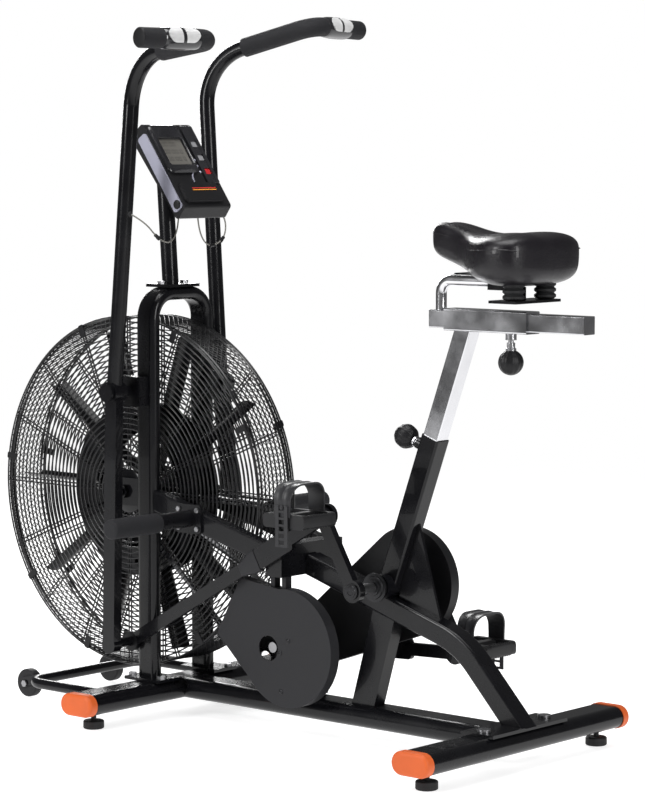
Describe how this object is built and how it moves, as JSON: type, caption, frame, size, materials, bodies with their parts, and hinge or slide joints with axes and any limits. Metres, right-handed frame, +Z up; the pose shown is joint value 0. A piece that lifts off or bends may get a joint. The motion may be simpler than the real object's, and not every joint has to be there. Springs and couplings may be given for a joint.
{
  "type": "air bike",
  "caption": "Fan-resistance exercise bike with pedals, swinging handlebars linked to the cranks, caged fan, sliding saddle, console and transport wheels.",
  "frame": {"origin": "middle of the bike's plan on the floor, at the base of the levelling feet", "axes": "+X to the rear of the bike, +Y to the rider's right, +Z up"},
  "size_m": [1.417, 0.7352, 1.3563],
  "materials": {
    "black_paint": "satin",
    "grey_paint": "satin",
    "chrome_plate": "polished",
    "zinc_steel": "satin",
    "wire_paint": "gloss",
    "black_plastic": "matte",
    "orange_plastic": "satin",
    "silver_plastic": "gloss",
    "screen_glass": "gloss",
    "key_plastic": "matte",
    "red_key": "matte",
    "foam_rubber": "matte",
    "black_rubber": "matte",
    "saddle_leather": "gloss",
    "strap_rubber": "satin",
    "wire_jacket": "satin",
    "pedal_plastic": "satin"
  },
  "bodies": {
    "frame": {"front_stabiliser": "black_paint", "rear_stabiliser": "black_paint", "stabiliser_caps": "orange_plastic", "base_beam": "black_paint", "transport_loop": "black_paint", "arch_frame": "black_paint", "arch_brackets": "black_paint", "console_mast": "black_paint", "console_housing": "black_plastic", "console_screen": "screen_glass", "console_trim": "silver_plastic", "side_rails": "black_paint", "main_beam": "black_paint", "support_leg": "black_paint", "bb_shell": "black_paint", "seat_tube": "black_paint", "jackshaft_stand": "black_paint", "foot_pegs": "black_paint", "foot_peg_sleeves": "foam_rubber", "drive_chains": "zinc_steel", "chain_cover": "black_plastic", "chain_guard": "grey_paint", "grille_left": "wire_paint", "grille_right": "wire_paint", "cage_rim": "wire_paint", "frame_bolts": "zinc_steel", "pulse_wire_left": "wire_jacket", "pulse_wire_right": "wire_jacket"},
    "crankset": {"crank_spindle": "zinc_steel", "crank_left": "black_paint", "crank_right": "black_paint"},
    "pedal_left": {"pedal_left": "pedal_plastic", "pedal_strap_left": "strap_rubber"},
    "pedal_right": {"pedal_right": "pedal_plastic", "pedal_strap_right": "strap_rubber"},
    "jackshaft": {"jackshaft": "zinc_steel"},
    "fan": {"fan_hub": "zinc_steel", "fan_blades": "black_paint"},
    "arm_left": {"arm_left": "black_paint", "grip_left": "foam_rubber"},
    "arm_right": {"arm_right": "black_paint", "grip_right": "foam_rubber"},
    "rod_left": {"rod_left": "black_paint"},
    "rod_right": {"rod_right": "black_paint"},
    "seat_post": {"seat_post": "chrome_plate"},
    "slide_knob": {"slide_knob": "black_plastic"},
    "post_knob": {"post_knob": "black_plastic"},
    "seat_slider": {"seat_slider": "chrome_plate", "saddle_frame": "black_paint", "saddle_springs": "black_rubber", "saddle": "saddle_leather"},
    "transport_wheel_left": {"transport_wheel_left": "black_rubber"},
    "transport_wheel_right": {"transport_wheel_right": "black_rubber"},
    "foot_front_left": {"foot_front_left": "black_rubber"},
    "foot_front_right": {"foot_front_right": "black_rubber"},
    "foot_rear_left": {"foot_rear_left": "black_rubber"},
    "foot_rear_right": {"foot_rear_right": "black_rubber"},
    "key_mode": {"key_mode": "key_plastic"},
    "key_set": {"key_set": "key_plastic"},
    "key_reset": {"key_reset": "red_key"}
  },
  "joints": [
    {"name": "crank_spin", "type": "hinge", "parent": "frame", "child": "crankset", "pos_m": [0.2665, 0, 0.3], "axis": [0, -1, 0], "continuous": true},
    {"name": "pedal_left_spin", "type": "hinge", "parent": "crankset", "child": "pedal_left", "pos_m": [0.1905, -0.171, 0.43164], "axis": [0, 1, 0], "continuous": true},
    {"name": "pedal_right_spin", "type": "hinge", "parent": "crankset", "child": "pedal_right", "pos_m": [0.3425, 0.171, 0.16836], "axis": [0, 1, 0], "continuous": true},
    {"name": "jackshaft_spin", "type": "hinge", "parent": "frame", "child": "jackshaft", "pos_m": [0.0315, 0, 0.165], "axis": [0, -1, 0], "continuous": true},
    {"name": "fan_spin", "type": "hinge", "parent": "frame", "child": "fan", "pos_m": [-0.3635, 0, 0.43], "axis": [0, -1, 0], "continuous": true},
    {"name": "arm_left_swing", "type": "hinge", "parent": "frame", "child": "arm_left", "pos_m": [-0.3025, -0.15, 0.634], "axis": [0, 1, 0], "range_deg": [-14, 14], "deforming": ["pulse_wire_left"]},
    {"name": "arm_right_swing", "type": "hinge", "parent": "frame", "child": "arm_right", "pos_m": [-0.3025, 0.15, 0.634], "axis": [0, 1, 0], "range_deg": [-14, 14], "deforming": ["pulse_wire_right"]},
    {"name": "rod_left_pivot", "type": "hinge", "parent": "arm_left", "child": "rod_left", "pos_m": [-0.31366, -0.094, 0.14213], "axis": [0, 1, 0], "range_deg": [-14, 14]},
    {"name": "rod_right_pivot", "type": "hinge", "parent": "arm_right", "child": "rod_right", "pos_m": [-0.23828, 0.094, 0.14621], "axis": [0, 1, 0], "range_deg": [-14, 14]},
    {"name": "seat_height_slide", "type": "slide", "parent": "frame", "child": "seat_post", "axis": [0.342, 0, 0.9397], "range_m": [-0.08, 0.06]},
    {"name": "seat_fore_aft_slide", "type": "slide", "parent": "seat_post", "child": "seat_slider", "axis": [1, 0, 0], "range_m": [-0.09, 0.008]},
    {"name": "post_knob_pull", "type": "slide", "parent": "frame", "child": "post_knob", "axis": [-0.9397, 0, 0.342], "range_m": [0, 0.008], "stiffness_N_per_m": 600, "springref_m": -0.004},
    {"name": "slide_knob_pull", "type": "slide", "parent": "seat_post", "child": "slide_knob", "axis": [0, 0, -1], "range_m": [0, 0.008], "stiffness_N_per_m": 600, "springref_m": -0.004},
    {"name": "transport_wheel_left_spin", "type": "hinge", "parent": "frame", "child": "transport_wheel_left", "pos_m": [-0.5815, -0.115, 0.031], "axis": [0, 1, 0], "continuous": true},
    {"name": "transport_wheel_right_spin", "type": "hinge", "parent": "frame", "child": "transport_wheel_right", "pos_m": [-0.5815, 0.115, 0.031], "axis": [0, 1, 0], "continuous": true},
    {"name": "foot_front_left_screw", "type": "slide", "parent": "frame", "child": "foot_front_left", "axis": [0, 0, -1], "range_m": [0, 0.012]},
    {"name": "foot_front_right_screw", "type": "slide", "parent": "frame", "child": "foot_front_right", "axis": [0, 0, -1], "range_m": [0, 0.012]},
    {"name": "foot_rear_left_screw", "type": "slide", "parent": "frame", "child": "foot_rear_left", "axis": [0, 0, -1], "range_m": [0, 0.012]},
    {"name": "foot_rear_right_screw", "type": "slide", "parent": "frame", "child": "foot_rear_right", "axis": [0, 0, -1], "range_m": [0, 0.012]},
    {"name": "key_mode_press", "type": "slide", "parent": "frame", "child": "key_mode", "axis": [-0.8168, 0, -0.5769], "range_m": [0, 0.0008], "stiffness_N_per_m": 800, "springref_m": -0.0006},
    {"name": "key_set_press", "type": "slide", "parent": "frame", "child": "key_set", "axis": [-0.8168, 0, -0.5769], "range_m": [0, 0.0008], "stiffness_N_per_m": 800, "springref_m": -0.0006},
    {"name": "key_reset_press", "type": "slide", "parent": "frame", "child": "key_reset", "axis": [-0.8168, 0, -0.5769], "range_m": [0, 0.0008], "stiffness_N_per_m": 800, "springref_m": -0.0006}
  ],
  "couplings": [
    {"joint": "jackshaft_spin", "follows": "crank_spin", "ratio": 2.5},
    {"joint": "fan_spin", "follows": "crank_spin", "ratio": 7.1429},
    {"joint": "arm_right_swing", "follows": "arm_left_swing", "ratio": -1},
    {"joint": "rod_left_pivot", "follows": "arm_left_swing", "ratio": -1},
    {"joint": "rod_right_pivot", "follows": "arm_left_swing", "ratio": 1}
  ]
}
